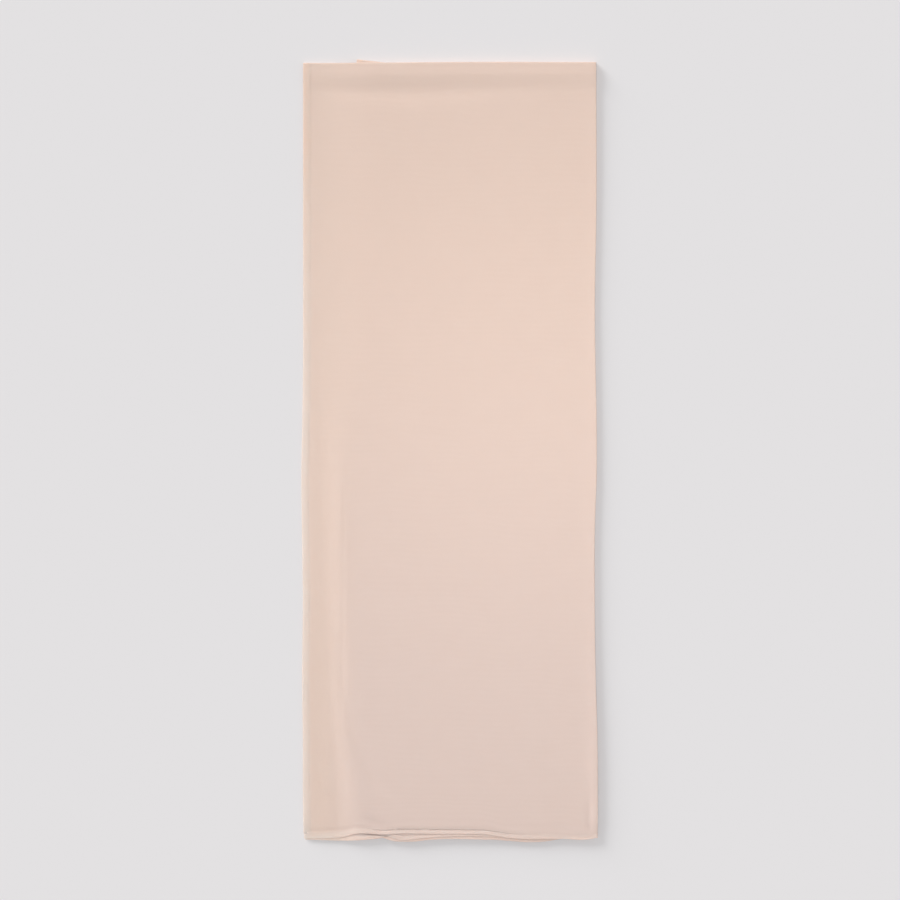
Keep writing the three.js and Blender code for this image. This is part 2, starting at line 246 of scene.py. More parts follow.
# The front panel's lie over the back pair's free edge. Columns: y, foot and top of the
# step, level of the strip before it, level of the plateau after it
LIE = np.array(
    [
        (-500, -142, -104, 3.3, 6.9),
        (-440, -143, -105, 3.3, 7.0),
        (-350, -149, -114, 3.2, 6.8),
        (-200, -157, -121, 3.0, 6.2),
        (-60, -162, -124, 2.9, 5.6),
        (120, -170, -106, 2.8, 5.1),
        (300, -172, -105, 2.8, 5.2),
        (430, -173, -104, 3.0, 6.1),
        (498, -174, -104, 3.2, 6.4),
    ],
    float,
)

# How far the open side's edge bends down to the table. Columns: y, share
EDGE_BEND = np.array([(-500, 1.0), (-100, 0.9), (200, 0.6), (350, 0.3), (450, 0.0)], float)

# How far the underside lifts off the table at the long fold. Columns: y, lift
FOLD_LIFT = np.array([(-500, 3.5), (-420, 3.2), (-330, 2.2), (-240, 1.0), (-150, 0.0)], float)

FOLDS = (
    # behind the crease
    Fold(
        Run.ACROSS,
        (
            (-180, 464, 9, 0),
            (-160, 462, 10, -0.5),
            (-120, 460, 11, -1.1),
            (-80, 459, 12, -1.4),
            (-20, 459, 12, -1.2),
            (10, 460, 11, -1.0),
            (60, 462, 10, -0.5),
            (117, 464, 10, -0.1),
            (182, 466, 9, 0),
        ),
    ),
    # crest of the crease's roll
    Fold(
        Run.ACROSS,
        (
            (-190, 486, 8, 0),
            (-150, 485, 8, 0.2),
            (-60, 484, 8, 0.35),
            (60, 483, 9, 0.4),
            (150, 482, 9, 0.3),
            (190, 482, 9, 0.1),
        ),
    ),
    # beside the hem of the open side
    Fold(
        Run.ALONG,
        (
            (400, -164, 9, 0),
            (116, -164, 9, -0.05),
            (-40, -164, 9, -0.1),
            (-260, -163, 9, -0.15),
            (-430, -164, 9, -0.25),
            (-465, -164, 9, -0.15),
            (-482, -165, 8, 0),
        ),
    ),
    # over the free edge of the back pair
    Fold(
        Run.ALONG,
        (
            (140, -138, 12, 0),
            (60, -137, 12, 0.2),
            (-40, -136, 12, 0.45),
            (-115, -135, 12, 0.5),
            (-200, -134, 13, 0.25),
            (-300, -131, 13, 0.25),
            (-372, -127, 13, 0.5),
            (-450, -117, 13, 0.6),
            (-478, -114, 12, 0.3),
            (-492, -112, 12, 0),
        ),
    ),
    # slanting valley beside that edge
    Fold(
        Run.ALONG,
        (
            (-215, -134, 7, 0),
            (-257, -131, 8, -0.4),
            (-330, -121, 7, -0.7),
            (-385, -109, 8, -1.1),
            (-410, -97, 8, -1.1),
            (-430, -84, 10, -0.6),
            (-447, -72, 11, 0),
        ),
    ),
    # short valley under it
    Fold(
        Run.ACROSS,
        (
            (-120, -475, 6, 0),
            (-105, -481, 6.5, -0.6),
            (-92, -487, 6.5, -1.2),
            (-79, -491.5, 6, -0.9),
            (-66, -494.5, 5, 0),
        ),
    ),
    # fine line where the cloth lies over the tucked hem
    Fold(
        Run.ALONG,
        (
            (-25, -128.5, 2.2, 0),
            (-60, -129, 2.2, -0.22),
            (-200, -129.5, 2.2, -0.25),
            (-320, -131, 2.2, -0.22),
            (-372, -131, 2.2, 0),
        ),
    ),
    # along the long fold
    Fold(
        Run.ALONG,
        (
            (490, 186, 10, 0),
            (440, 187, 10, 0.3),
            (300, 188, 10, 0.5),
            (100, 188, 10, 0.6),
            (-100, 187, 10, 0.5),
            (-260, 186, 10, 0.7),
            (-340, 185, 10, 1.1),
            (-440, 184, 10, 1.4),
            (-478, 184, 10, 1.0),
            (-494, 184, 9, 0),
        ),
    ),
    # dent in the lower right corner
    Fold(
        Run.ALONG,
        (
            (-434, 174, 4, 0),
            (-450, 174.5, 4.5, -0.5),
            (-470, 174.5, 4.5, -0.85),
            (-486, 175, 4, -0.45),
            (-494, 175, 4, 0),
        ),
    ),
    # drawn in by the end hem's stitching
    Fold(
        Run.ACROSS,
        (
            (-187, -490, 3.0, 0),
            (-172, -490.5, 3.0, -0.35),
            (-125, -491.5, 3.0, -0.45),
            (-85, -494.5, 2.6, -0.55),
            (40, -494.8, 2.6, -0.55),
            (70, -495, 2.6, -0.35),
            (110, -495.5, 2.6, -0.15),
            (186, -495.5, 2.6, 0),
        ),
    ),
)

# How the end hems' edges curl up, on the front pair and on the pair underneath, which
# shows a little past it
FRONT_CURL = Fold(
    Run.ACROSS,
    (
        (-190, -500, 4.5, 0.1),
        (-170, -500, 4.5, 0.45),
        (-110, -500, 4.5, 0.4),
        (-85, -500.5, 3, 0.15),
        (-40, -500.5, 3, 0.2),
        (0, -500.5, 3, 0.35),
        (70, -500.5, 3, 0.3),
        (120, -500.5, 3, 0.35),
        (188, -500.5, 3, 0.25),
    ),
)
TUCKED_CURL = Fold(
    Run.ACROSS,
    (
        (-140, -500, 4.5, 0.4),
        (-70, -500, 4.5, 0.8),
        (40, -500, 4.5, 0.85),
        (70, -500, 4.0, 0.4),
        (120, -500, 4.0, 0.35),
        (190, -500, 4.0, 0.25),
    ),
)


@dataclass(frozen=True)
class FoldedForm:
    """Where each point of the cut lies once the scarf is folded.

    A point is given by its place across the cut, from the open side, and its place along
    it, from the first end, both in mm.
    """

    # outline
    half_width: float = 188.0
    end_y: float = -500.0
    crease_y: float = 498.0
    back_edge_x: float = -122.0
    inner_inset: float = 1.2
    # thicknesses, and the pitch of the end hems' stack
    cloth: float = 0.3
    hem: float = 0.52
    hem_face: float = 0.22
    hem_pitch: float = 0.59
    # the long fold: half its height at the end, how far past the solid's it lies, the
    # power of its superellipse, and how far it bulges for its height
    end_fold_level: float = 3.65
    fold_out: float = 0.7
    fold_power: float = 4.0
    fold_depth: float = 0.15
    # the crease: power of its superellipse, and radius of each pair's roll
    crease_power: float = 3.0
    front_roll: float = 2.1
    back_roll: float = 1.9
    # levels: the bend of the open edge, the front panel's sink over its end hem, the air
    # under the strip's top layer, and the inner layers' relief and depths
    edge_drop: float = 0.9
    end_sink: float = 0.15
    strip_air: float = 0.1
    inner_share: float = 0.75
    inner_depth: float = 1.8
    inner_hem_depth: float = 2.0
    inner_back_level: float = 1.8
    inner_back_air: float = 1.0
    lifted_air: float = 0.9
    # blends: where each starts, from its own edge or as a y, and its length
    end_stack: tuple[float, float] = (12.0, 34.0)
    end_draw: tuple[float, float] = (60.0, 34.0)
    crease_rise: tuple[float, float] = (10.0, 26.0)
    crease_draw: tuple[float, float] = (440.0, 39.0)
    hem_fade: tuple[float, float] = (11.0, 12.0)
    lift_fade: tuple[float, float] = (42.0, 38.0)
    bend_width: float = 14.0
    inset_width: float = 20.0

    @property
    def fold_x(self) -> float:
        """Where the long fold starts to turn."""
        return self.half_width - self.end_fold_level

    @property
    def crease_start_y(self) -> float:
        """Where the crease starts to turn."""
        return self.crease_y - self.front_roll

    @property
    def front_width(self) -> float:
        """Flat width of the front panel."""
        return self.fold_x + self.half_width

    @property
    def fold_arc(self) -> float:
        """Cloth that the long fold takes up."""
        return math.pi * self.end_fold_level

    @property
    def back_width(self) -> float:
        """Flat width of the part underneath."""
        return self.fold_x - self.back_edge_x

    @property
    def width(self) -> float:
        """Whole width of the cut."""
        return self.front_width + self.fold_arc + self.back_width

    @property
    def half_length(self) -> float:
        """Flat length of the outer layer."""
        return self.crease_start_y - self.end_y

    @property
    def crease_arc(self) -> float:
        """Cloth that the crease takes up."""
        return math.pi * self.front_roll

    @property
    def length(self) -> float:
        """Whole length of the cut."""
        return 2 * self.half_length + self.crease_arc

    def across(self, s: Array) -> tuple[Array, Array]:
        """Where a place across the cut comes to lie.

        Args:
            s: places across the cut.

        Returns:
            Nominal x, and turn round the long fold: 0 in front, pi underneath.
        """
        turn = np.clip((s - self.front_width) / self.fold_arc, 0, 1) * math.pi
        front = np.minimum(s - self.half_width, self.fold_x)
        under = self.fold_x - np.maximum(s - self.front_width - self.fold_arc, 0)
        return np.minimum(front, under), turn

    def along(self, t: Array) -> tuple[Array, Array]:
        """Where a place along the cut comes to lie.

        Args:
            t: places along the cut.

        Returns:
            Nominal y, and turn round the crease: 0 on the outer layer, pi on the inner.
        """
        turn = np.clip((t - self.half_length) / self.crease_arc, 0, 1) * math.pi
        outer = np.minimum(t + self.end_y, self.crease_start_y)
        inner = self.crease_start_y - np.maximum(t - self.half_length - self.crease_arc, 0)
        return np.minimum(outer, inner), turn

    def near_end(self, y: Array) -> Array:
        """1 where the end hems are stacked, 0 away from them."""
        start, length = self.end_stack
        return 1 - ease((y - self.end_y - start) / length)

    def near_crease(self, y: Array) -> Array:
        """1 on the roll of the crease, 0 behind it."""
        start, length = self.crease_rise
        return 1 - ease((self.crease_start_y - start - y) / length)

    def step_up(self, x: Array, y: Array) -> Array:
        """0 on the strip that lies on the table, 1 over the back pair."""
        start, stop = read(LIE, 1, y), read(LIE, 2, y)
        return ease((x - start) / (stop - start))

    def on_hem(self, distance: Array) -> Array:
        """1 within a hem of the given distance from the edge, 0 past it."""
        start, length = self.hem_fade
        return 1 - ease((distance - start) / length)

    def relief(self, x: Array, y: Array) -> Array:
        """Sum of all the pressed-in folds."""
        return sum(fold.height(x, y) for fold in FOLDS)

    def end_shift(self, edge: Array, x: Array, y: Array) -> Array:
        """How far a layer near its given lower edge lies from its nominal y."""
        start, length = self.end_draw
        return (read(edge, 1, x) - self.end_y) * ease((self.end_y + start - y) / length)

    def stack(self, x: Array, y: Array, relief: Array) -> Array:
        """Level of the front panel's upper face, without the bend of the open side.

        Args:
            x: nominal places across.
            y: nominal places along.
            relief: height of the folds there.

        Returns:
            The table's level over strip and plateau, blended into the crease's roll.
        """
        step = self.step_up(x, y)
        flat = lerp(read(LIE, 3, y), read(LIE, 4, y), step)
        rolled = 2 * (self.front_roll + self.back_roll * step)
        return lerp(flat, rolled, self.near_crease(y)) + relief

    def front_level(self, x: Array, y: Array) -> Array:
        """Middle level of the front panel, without the curl of its end hem.

        Args:
            x: nominal places across.
            y: nominal places along.

        Returns:
            The upper face's level, less the open edge's bend, half the cloth and the sink
            over the end hem.
        """
        bent = read(EDGE_BEND, 1, y) * (1 - ease((x + self.half_width) / self.bend_width))
        bent = self.edge_drop * bent * (1 - self.near_crease(y)) * (1 - self.near_end(y))
        upper = self.stack(x, y, self.relief(x, y))
        return upper - bent - self.cloth / 2 - self.end_sink * self.on_hem(y - self.end_y)

    def levels(self, x: Array, y: Array) -> tuple[Array, Array, Array, Array]:
        """Middle levels of the four layers, from the top.

        Each is the face that the layers below leave it on, less half its cloth; on a hem
        it moves to where the doubled band's right face lies on what is under it. At the
        end the four hems lie close on each other, each a pitch under the front panel's
        level at its own place in plan, and the lowest ones lift off the table.

        Args:
            x: nominal places across.
            y: nominal places along.

        Returns:
            Front panel, inner front, inner back and back panel.
        """
        half_cloth = self.cloth / 2
        seat = self.hem_face
        step = self.step_up(x, y)
        crease = self.near_crease(y)
        end_hem = self.on_hem(y - self.end_y)
        open_hem = self.on_hem(x + self.half_width)
        tucked_hem = self.on_hem(x - self.back_edge_x)
        end = self.near_end(y)
        front = self.front_level(x, y) + FRONT_CURL.height(x, y)
        front_shift = self.end_shift(FRONT_END, x, y)

        def stacked(count: int, edge: Array, curl: Fold) -> Array:
            """Level of the layer that many pitches under the front one, at the end."""
            at = y + self.end_shift(edge, x, y) - front_shift
            return self.front_level(x, at) + curl.height(x, y) - count * self.hem_pitch

        on_strip = lerp(half_cloth + self.strip_air, seat, np.maximum(open_hem, end_hem))
        on_pair = self.stack(x, y, self.inner_share * self.relief(x, y))
        on_pair = on_pair - lerp(self.inner_depth, self.inner_hem_depth, end_hem)
        inner_front = lerp(on_strip, on_pair, step)
        roll_floor = 2 * self.back_roll * step + lerp(half_cloth, seat, open_hem)
        inner_front = lerp(inner_front, roll_floor, crease)
        inner_front = lerp(inner_front, stacked(1, INNER_FRONT_END, FRONT_CURL), end)

        doubled = np.maximum(tucked_hem, end_hem)
        start, length = self.lift_fade
        lift = read(FOLD_LIFT, 1, y) * ease((x - self.fold_x + start) / length)
        back = lerp(half_cloth, seat, doubled) + lift
        inner_back = lerp(self.inner_back_level, self.hem + self.inner_back_air, doubled)
        inner_back = np.maximum(inner_back, back + self.lifted_air)
        roll_top = 2 * self.back_roll - lerp(half_cloth, seat, tucked_hem)
        inner_back = lerp(inner_back, roll_top, crease)
        inner_back = lerp(inner_back, stacked(2, INNER_BACK_END, TUCKED_CURL), end)
        back = lerp(back, stacked(3, BACK_END, TUCKED_CURL), end)
        return front, inner_front, inner_back, back

    def middle(self, s: Array, t: Array) -> Array:
        """Points of the cloth's middle surface.

        On each pair the level goes from outer to inner layer by the blunt cosine of the
        turn round the crease, and between the pairs by that of the turn round the long
        fold; their blunt sines carry the rolls outwards in y and x.

        Args:
            s: places across the cut.
            t: places along the cut.

        Returns:
            Points in mm, with a last axis of 3.
        """
        x, turn = self.across(s)
        y, roll = self.along(t)
        fold_cos, fold_sin = blunt(turn, self.fold_power)
        crease_cos, crease_sin = blunt(roll, self.crease_power)
        under = (1 - fold_cos) / 2
        inner = (1 - crease_cos) / 2
        front, inner_front, inner_back, back = self.levels(x, y)
        upper = lerp(front, inner_front, inner)
        lower = lerp(back, inner_back, inner)
        z = lerp(upper, lower, under)
        fold_radius = (upper - lower) / 2
        crease_radius = lerp((front - inner_front) / 2, (inner_back - back) / 2, under)

        top, _, _, bottom = self.levels(np.full_like(x, self.fold_x), y)
        start = read(SIDES, 3, y) + self.fold_out - self.fold_depth * (top - bottom) / 2
        edge = read(SIDES, 2, y)
        near_edge = 1 - ease((x + self.half_width) / self.inset_width)
        inset = self.inner_inset * inner * near_edge
        on_strip = (x + self.half_width) / (self.back_edge_x + self.half_width)
        on_pair = (x - self.back_edge_x) / (self.fold_x - self.back_edge_x)
        strip_x = lerp(read(SIDES, 1, y) + inset, edge, on_strip)
        plan_x = np.where(x < self.back_edge_x, strip_x, lerp(edge, start, on_pair))

        front_end, inner_front_end, inner_back_end, back_end = (
            self.end_shift(edge, x, y)
            for edge in (FRONT_END, INNER_FRONT_END, INNER_BACK_END, BACK_END)
        )
        front_end = lerp(front_end, inner_front_end, inner)
        end_shift = lerp(front_end, lerp(back_end, inner_back_end, inner), under)
        draw_start, draw_length = self.crease_draw
        painted_warm_crease = ease((y - draw_start) / draw_length)
        crease = lerp(read(FRONT_CREASE, 1, x), read(BACK_CREASE, 1, x), under)
        plan_y = y + end_shift + (crease - self.crease_y) * painted_warm_crease
        out_x = self.fold_depth * fold_radius * fold_sin
        return np.stack([plan_x + out_x, plan_y + crease_radius * crease_sin, z], -1)

    def place(self, s: Array, t: Array, off: Array = 0.0) -> Array:
        """Points at a distance off the middle surface, along its normal.

        The normal is the cross product of the surface's slopes across and along, taken
        over a short step to both sides.

        Args:
            s: places across the cut.
            t: places along the cut.
            off: distance outwards.

        Returns:
            Points in mm, with a last axis of 3.
        """
        s, t, off = np.broadcast_arrays(np.asarray(s, float), t, off)
        step = 0.3
        across = self.middle(s + step, t) - self.middle(s - step, t)
        along = self.middle(s, t + step) - self.middle(s, t - step)
        normal = np.cross(across, along)
        normal /= np.linalg.norm(normal, axis=-1, keepdims=True)
        return self.middle(s, t) + off[..., None] * normal


# Meshes


def grid_faces(rows: int, columns: int, closed: bool = False) -> Array:
    """Quads of a grid of points that are numbered row by row.

    Args:
        rows: number of rows.
        columns: number of points in a row.
        closed: whether each row's last point is joined to its first.

    Returns:
        Point numbers of each quad, shape (n, 4).
    """
    wide = columns if closed else columns - 1
    row, left = np.meshgrid(np.arange(rows - 1), np.arange(wide), indexing="ij")
    right = (left + 1) % columns
    low, high = row * columns, (row + 1) * columns
    return np.stack([low + left, low + right, high + right, high + left], -1).reshape(-1, 4)


def make_piece(
    name: str, points: Array, faces: list[list[int]], uv: Array, material: bpy.types.Material
) -> bpy.types.Object:
    """A smooth-shaded mesh object at the origin.

    Args:
        name: the piece's name.
        points: vertices in mm, shape (n, 3).
        faces: vertex numbers of each face.
        uv: place of each vertex on the cut in metres, shape (n, 2).
        material: its finish.

    Returns:
        The object, linked to the scene.
    """
    mesh = bpy.data.meshes.new(name)
    mesh.from_pydata((points * MM).tolist(), [], faces)
    corners = np.empty(len(mesh.loops), np.int32)
    mesh.loops.foreach_get("vertex_index", corners)
    layer = mesh.uv_layers.new(name=CUT_MAP)
    layer.uv.foreach_set("vector", uv[corners].astype(np.float32).ravel())
    mesh.polygons.foreach_set("use_smooth", np.ones(len(mesh.polygons), bool))
    mesh.materials.append(material)
    mesh.validate()
    mesh.update()
    piece = bpy.data.objects.new(name, mesh)
    bpy.context.scene.collection.objects.link(piece)
    return piece


def triangles(piece: bpy.types.Object) -> int:
    """Number of triangles of a piece with its modifiers applied."""
    shown = piece.evaluated_get(bpy.context.evaluated_depsgraph_get()).data
    return sum(len(polygon.vertices) - 2 for polygon in shown.polygons)


# Finishes


def linear(colour: str) -> tuple[float, float, float, float]:
    """Linear RGBA of an sRGB hex colour."""
    parts = (int(colour[n : n + 2], 16) / 255 for n in (1, 3, 5))
    return (*(p / 12.92 if p <= 0.04045 else ((p + 0.055) / 1.055) ** 2.4 for p in parts), 1.0)


def add_node(
    tree: bpy.types.NodeTree, kind: str, inputs: dict | None = None, **settings: object
) -> bpy.types.Node:
    """A new node with its settings, and its inputs set or linked.

    Args:
        tree: the material's node tree.
        kind: the node's type name.
        inputs: value, or another node's output, for each input's name or number.
        settings: the node's own properties.

    Returns:
        The node.
    """
    node = tree.nodes.new(kind)
    for key, value in settings.items():
        setattr(node, key, value)
    for key, value in (inputs or {}).items():
        if isinstance(value, bpy.types.NodeSocket):
            tree.links.new(value, node.inputs[key])
        else:
            node.inputs[key].default_value = value
    return node


def between(span: tuple[float, float]) -> dict[str, float]:
    """A Map Range node's inputs that make it rise from 0 to 1 over a span."""
    return {"From Min": span[0], "From Max": span[1]}


def blank_material(name: str) -> tuple[bpy.types.Material, bpy.types.NodeTree]:
    """A node material with nothing in it yet.

    Args:
        name: the material's name.

    Returns:
        The material and its node tree.
    """
    material = bpy.data.materials.new(name)
    material.use_nodes = True
    material.node_tree.nodes.clear()
    return material, material.node_tree


@dataclass(frozen=True)
class CrepeGeorgette:
    """Crepe georgette: a matt, slightly sheer plain weave of hard-twisted yarn.

    The twist gives it a dry pebbled face, and the pressed layers show faint flowing lines.
    Dyed in the piece; its colour is a little warmer towards the crease and along the open side,
    which is painted warm light.
    """

    name: str = "crepe_georgette"
    # colours: the cloth's own at the end, and painted warm light towards the crease and along
    # the open side
    at_end: str = "#E4CABF"
    painted_warm_crease: str = "#E8CBBC"
    painted_warm_side: str = "#E6CABB"
    # painted light: the paler rim, for the floor's light through the sheer hem
    painted_rim_light: str = "#E8D5CB"
    rim_width: float = 13.0
    end_rim_width: float = 9.0
    end_rim_share: float = 0.7
    # places on the cut in metres between which a blend rises
    crease_blend: tuple[float, float] = (0.1, 0.8)
    side_blend: tuple[float, float] = (0.09, 0.02)
    rim_blend: tuple[float, float] = (0.9, 0.55)
    pebble: float = 2.6  # yarn crinkle is about 0.6 mm; drawn coarser so that it shows
    mottle: float = 26.0
    flow_spacing: float = 8.0
    pebble_depth: float = 0.04
    flow_depth: float = 0.03
    mottle_share: float = 0.02
    roughness: float = 0.9
    bleed: float = 0.25

    def build(self) -> bpy.types.Material:
        """Noise for the crinkle and mottling, and a distorted wave for the flowing lines.

        Returns:
            The material.
        """
        material, tree = blank_material(self.name)
        cut = add_node(tree, "ShaderNodeUVMap", uv_map=CUT_MAP).outputs[0]
        pebble = add_node(
            tree,
            "ShaderNodeTexNoise",
            {"Vector": cut, "Scale": 1 / (self.pebble * MM), "Detail": 2.0, "Roughness": 0.6},
        ).outputs[0]
        mottle = add_node(
            tree,
            "ShaderNodeTexNoise",
            {"Vector": cut, "Scale": 1 / (self.mottle * MM), "Detail": 3.0, "Roughness": 0.55},
        ).outputs[0]
        # the wave's phase is 20 times its scaled coordinate
        flow = add_node(
            tree,
            "ShaderNodeTexWave",
            {
                "Vector": cut,
                "Scale": 2 * math.pi / (20 * self.flow_spacing * MM),
                "Distortion": 9.0,
                "Detail": 2.0,
                "Detail Scale": 0.35,
                "Detail Roughness": 0.5,
            },
            wave_type="BANDS",
            bands_direction="Y",
        ).outputs[1]
        height = add_node(
            tree,
            "ShaderNodeMath",
            {0: flow, 1: self.flow_depth / self.pebble_depth, 2: pebble},
            operation="MULTIPLY_ADD",
        ).outputs[0]
        bump = add_node(
            tree, "ShaderNodeBump", {"Height": height, "Distance": self.pebble_depth * MM}
        ).outputs[0]
        shader = add_node(
            tree,
            "ShaderNodeBsdfPrincipled",
            {
                "Base Color": self.colour_with_painted_light(tree, cut, mottle),
                "Normal": bump,
                "Roughness": self.roughness,
                "Specular IOR Level": 0.25,
                "Sheen Weight": 0.08,
                "Sheen Roughness": 0.5,
                "Subsurface Weight": self.bleed,
                "Subsurface Radius": (1.0, 0.8, 0.72),
                "Subsurface Scale": 2.0 * MM,
            },
        )
        add_node(tree, "ShaderNodeOutputMaterial", {"Surface": shader.outputs[0]})
        return material

    def colour_with_painted_light(
        self, tree: bpy.types.NodeTree, cut: bpy.types.NodeSocket, mottle: bpy.types.NodeSocket
    ) -> bpy.types.NodeSocket:
        """The cloth's colour: slow blends over the cut that paint a warm light towards the
        crease and the open side, and a painted paler rim along the open side and its ends for
        the floor's light through the sheer hem, all with a faint mottling.

        Args:
            tree: the material's node tree.
            cut: place on the cut in metres.
            mottle: noise that dulls the colour by up to mottle_share.

        Returns:
            The colour's socket.
        """
        place = add_node(tree, "ShaderNodeSeparateXYZ", {0: cut})
        # both halves of the cut alike, from their ends to the crease at 1 m
        from_end = add_node(
            tree, "ShaderNodeMath", {0: place.outputs[1], 1: 1.0}, operation="PINGPONG"
        ).outputs[0]
        # painted warm light: masks that warm the colour towards the crease and along the open
        # side
        towards_crease = add_node(
            tree,
            "ShaderNodeMapRange",
            {"Value": from_end, **between(self.crease_blend)},
            interpolation_type="SMOOTHSTEP",
        ).outputs[0]
        towards_side = add_node(
            tree,
            "ShaderNodeMapRange",
            {"Value": place.outputs[0], **between(self.side_blend)},
            interpolation_type="SMOOTHSTEP",
        ).outputs[0]
        body = add_node(
            tree,
            "ShaderNodeMix",
            {0: towards_crease, 6: linear(self.at_end), 7: linear(self.painted_warm_crease)},
            data_type="RGBA",
        ).outputs[2]
        sided = add_node(
            tree,
            "ShaderNodeMix",
            {0: towards_side, 6: body, 7: linear(self.painted_warm_side)},
            data_type="RGBA",
        ).outputs[2]
        # painted light: a paler rim along the open side and its ends, for the floor's light
        # through the sheer hem
        towards_rim = add_node(
            tree,
            "ShaderNodeMapRange",
            {"Value": place.outputs[0], **between((self.rim_width * MM, 0.0))},
        ).outputs[0]
        off_crease = add_node(
            tree, "ShaderNodeMapRange", {"Value": from_end, **between(self.rim_blend)}
        ).outputs[0]
        side_rim = add_node(
            tree, "ShaderNodeMath", {0: towards_rim, 1: off_crease}, operation="MULTIPLY"
        ).outputs[0]
        towards_end = add_node(
            tree,
            "ShaderNodeMapRange",
            {
                "Value": from_end,
                **between((self.end_rim_width * MM, 0.0)),
                "To Max": self.end_rim_share,
            },
        ).outputs[0]
        end_rim = add_node(
            tree, "ShaderNodeMath", {0: towards_end, 1: towards_side}, operation="MULTIPLY"
        ).outputs[0]
        rim = add_node(
            tree, "ShaderNodeMath", {0: side_rim, 1: end_rim}, operation="MAXIMUM"
        ).outputs[0]
        rimmed = add_node(
            tree,
            "ShaderNodeMix",
            {0: rim, 6: sided, 7: linear(self.painted_rim_light)},
            data_type="RGBA",
        ).outputs[2]
        dulled = add_node(
            tree, "ShaderNodeMath", {0: mottle, 1: self.mottle_share}, operation="MULTIPLY"
        ).outputs[0]
        return add_node(
            tree,
            "ShaderNodeMix",
            {0: dulled, 6: rimmed, 7: linear("#000000")},
            data_type="RGBA",
        ).outputs[2]


@dataclass(frozen=True)
class SewingThread:
    """Spun polyester thread, dyed to match: matt, with shade painted into the grooves between
    its plies.
    """

    name: str = "spun_polyester_thread"
    colour: str = "#E8D2C7"
    ply_shade: str = "#E0C7BB"
    ply: float = 0.4

    def build(self) -> bpy.types.Material:
        """A fine wave for the plies of the thread, its darker bands painted shade in the
        grooves between them.

        Returns:
            The material.
        """
        material, tree = blank_material(self.name)
        cut = add_node(tree, "ShaderNodeUVMap", uv_map=CUT_MAP).outputs[0]
        plies = add_node(
            tree,
            "ShaderNodeTexWave",
            {"Vector": cut, "Scale": 2 * math.pi / (20 * self.ply * MM)},
            bands_direction="DIAGONAL",
        ).outputs[1]
        # painted shade: darker bands between the plies
        colour = add_node(
            tree,
            "ShaderNodeMix",
            {0: plies, 6: linear(self.ply_shade), 7: linear(self.colour)},
            data_type="RGBA",
        ).outputs[2]
        shader = add_node(
            tree, "ShaderNodeBsdfPrincipled", {"Base Color": colour, "Roughness": 0.75}
        )
        add_node(tree, "ShaderNodeOutputMaterial", {"Surface": shader.outputs[0]})
        return material


@dataclass(frozen=True)
class PaperFloor:
    """Matt seamless paper: even and pale, with no visible grain at this distance."""

    name: str = "seamless_paper"
    colour: str = "#E6E4E5"

    def build(self) -> bpy.types.Material:
        """A plain diffuse surface.

        Returns:
            The material.
        """
        material, tree = blank_material(self.name)
        shader = add_node(
            tree,
            "ShaderNodeBsdfPrincipled",
            {
                "Base Color": linear(self.colour),
                "Roughness": 1.0,
                "Specular IOR Level": 0.0,
            },
        )
        add_node(tree, "ShaderNodeOutputMaterial", {"Surface": shader.outputs[0]})
        return material


# The scarf


@dataclass
class Cloth:
    """The whole cut as one thin folded sheet, whose edges end inside the hems' bands."""

    form: FoldedForm
    finish: bpy.types.Material
    margin: float = 4.6

    def places_across(self) -> Array:
        """Stations across the cut, closer along the hems and round the long fold.

        Returns:
            The stations.
        """
        form = self.form
        fold_end = form.front_width + form.fold_arc
        return stations(
            (self.margin, 70, 2.5),
            (70, 340, 6),
            (340, form.front_width, 2.5),
            (form.front_width, fold_end, form.fold_arc / 16),
            (fold_end, form.width - 25, 6),
            (form.width - 25, form.width - self.margin, 3),
        )

    def places_along(self) -> Array:
        """Stations along the cut, closer at the ends and round the crease.

        Returns:
            The stations.
        """
        form = self.form
        inner = form.half_length + form.crease_arc
        return stations(
            (self.margin, 60, 2.0),
            (60, form.half_length - 48, 7.5),
            (form.half_length - 48, form.half_length, 2.0),
            (form.half_length, inner, form.crease_arc / 12),
            (inner, inner + 40, 5),
            (inner + 40, form.length - 60, 12),
            (form.length - 60, form.length - self.margin, 2),
        )

    def build(self) -> bpy.types.Object:
        """The sheet, with a wall given by a Solidify modifier.

        Returns:
            The cloth's object.
        """
        s, t = self.places_across(), self.places_along()
        grid_s, grid_t = np.meshgrid(s, t)
        points = self.form.middle(grid_s, grid_t).reshape(-1, 3)
        uv = np.stack([grid_s, grid_t], -1).reshape(-1, 2) * MM
        faces = grid_faces(len(t), len(s)).tolist()
        sheet = make_piece("scarf_cloth", points, faces, uv, self.finish)
        wall = sheet.modifiers.new("wall", "SOLIDIFY")
        wall.thickness = self.form.cloth * MM
        wall.offset = 0.0
        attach(sheet, "root")
        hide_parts("front_panel", "back_panel", "folded_inside")
        return sheet


class Edge(Enum):
    """The cut's four edges."""

    OPEN_SIDE = "open_side_hem"
    TUCKED_SIDE = "tucked_side_hem"
    OUTER_END = "outer_end_hem"
    INNER_END = "inner_end_hem"


# Half of a hem's section on each face: distance from the edge, and height off the middle.
# The right face stays nearly flush with the cloth; the turned cloth is on the wrong side.
RIGHT_FACE = (
    (0.0, -0.05),
    (0.03, 0.05),
    (0.12, 0.14),
    (0.35, 0.2),
    (1.0, 0.22),
    (2.2, 0.23),
    (5.0, 0.22),
    (7.6, 0.2),
    (8.6, 0.18),
    (9.0, 0.15),
    (9.5, 0.17),
    (10.3, 0.15),
    (10.9, 0.08),
)
WRONG_FACE = (
    (10.9, -0.09),
    (10.35, -0.18),
    (10.1, -0.25),
    (9.5, -0.28),
    (9.0, -0.22),
    (8.5, -0.28),
    (7.4, -0.3),
    (5.0, -0.29),
    (2.2, -0.3),
    (0.8, -0.28),
    (0.2, -0.23),
    (0.02, -0.15),
)


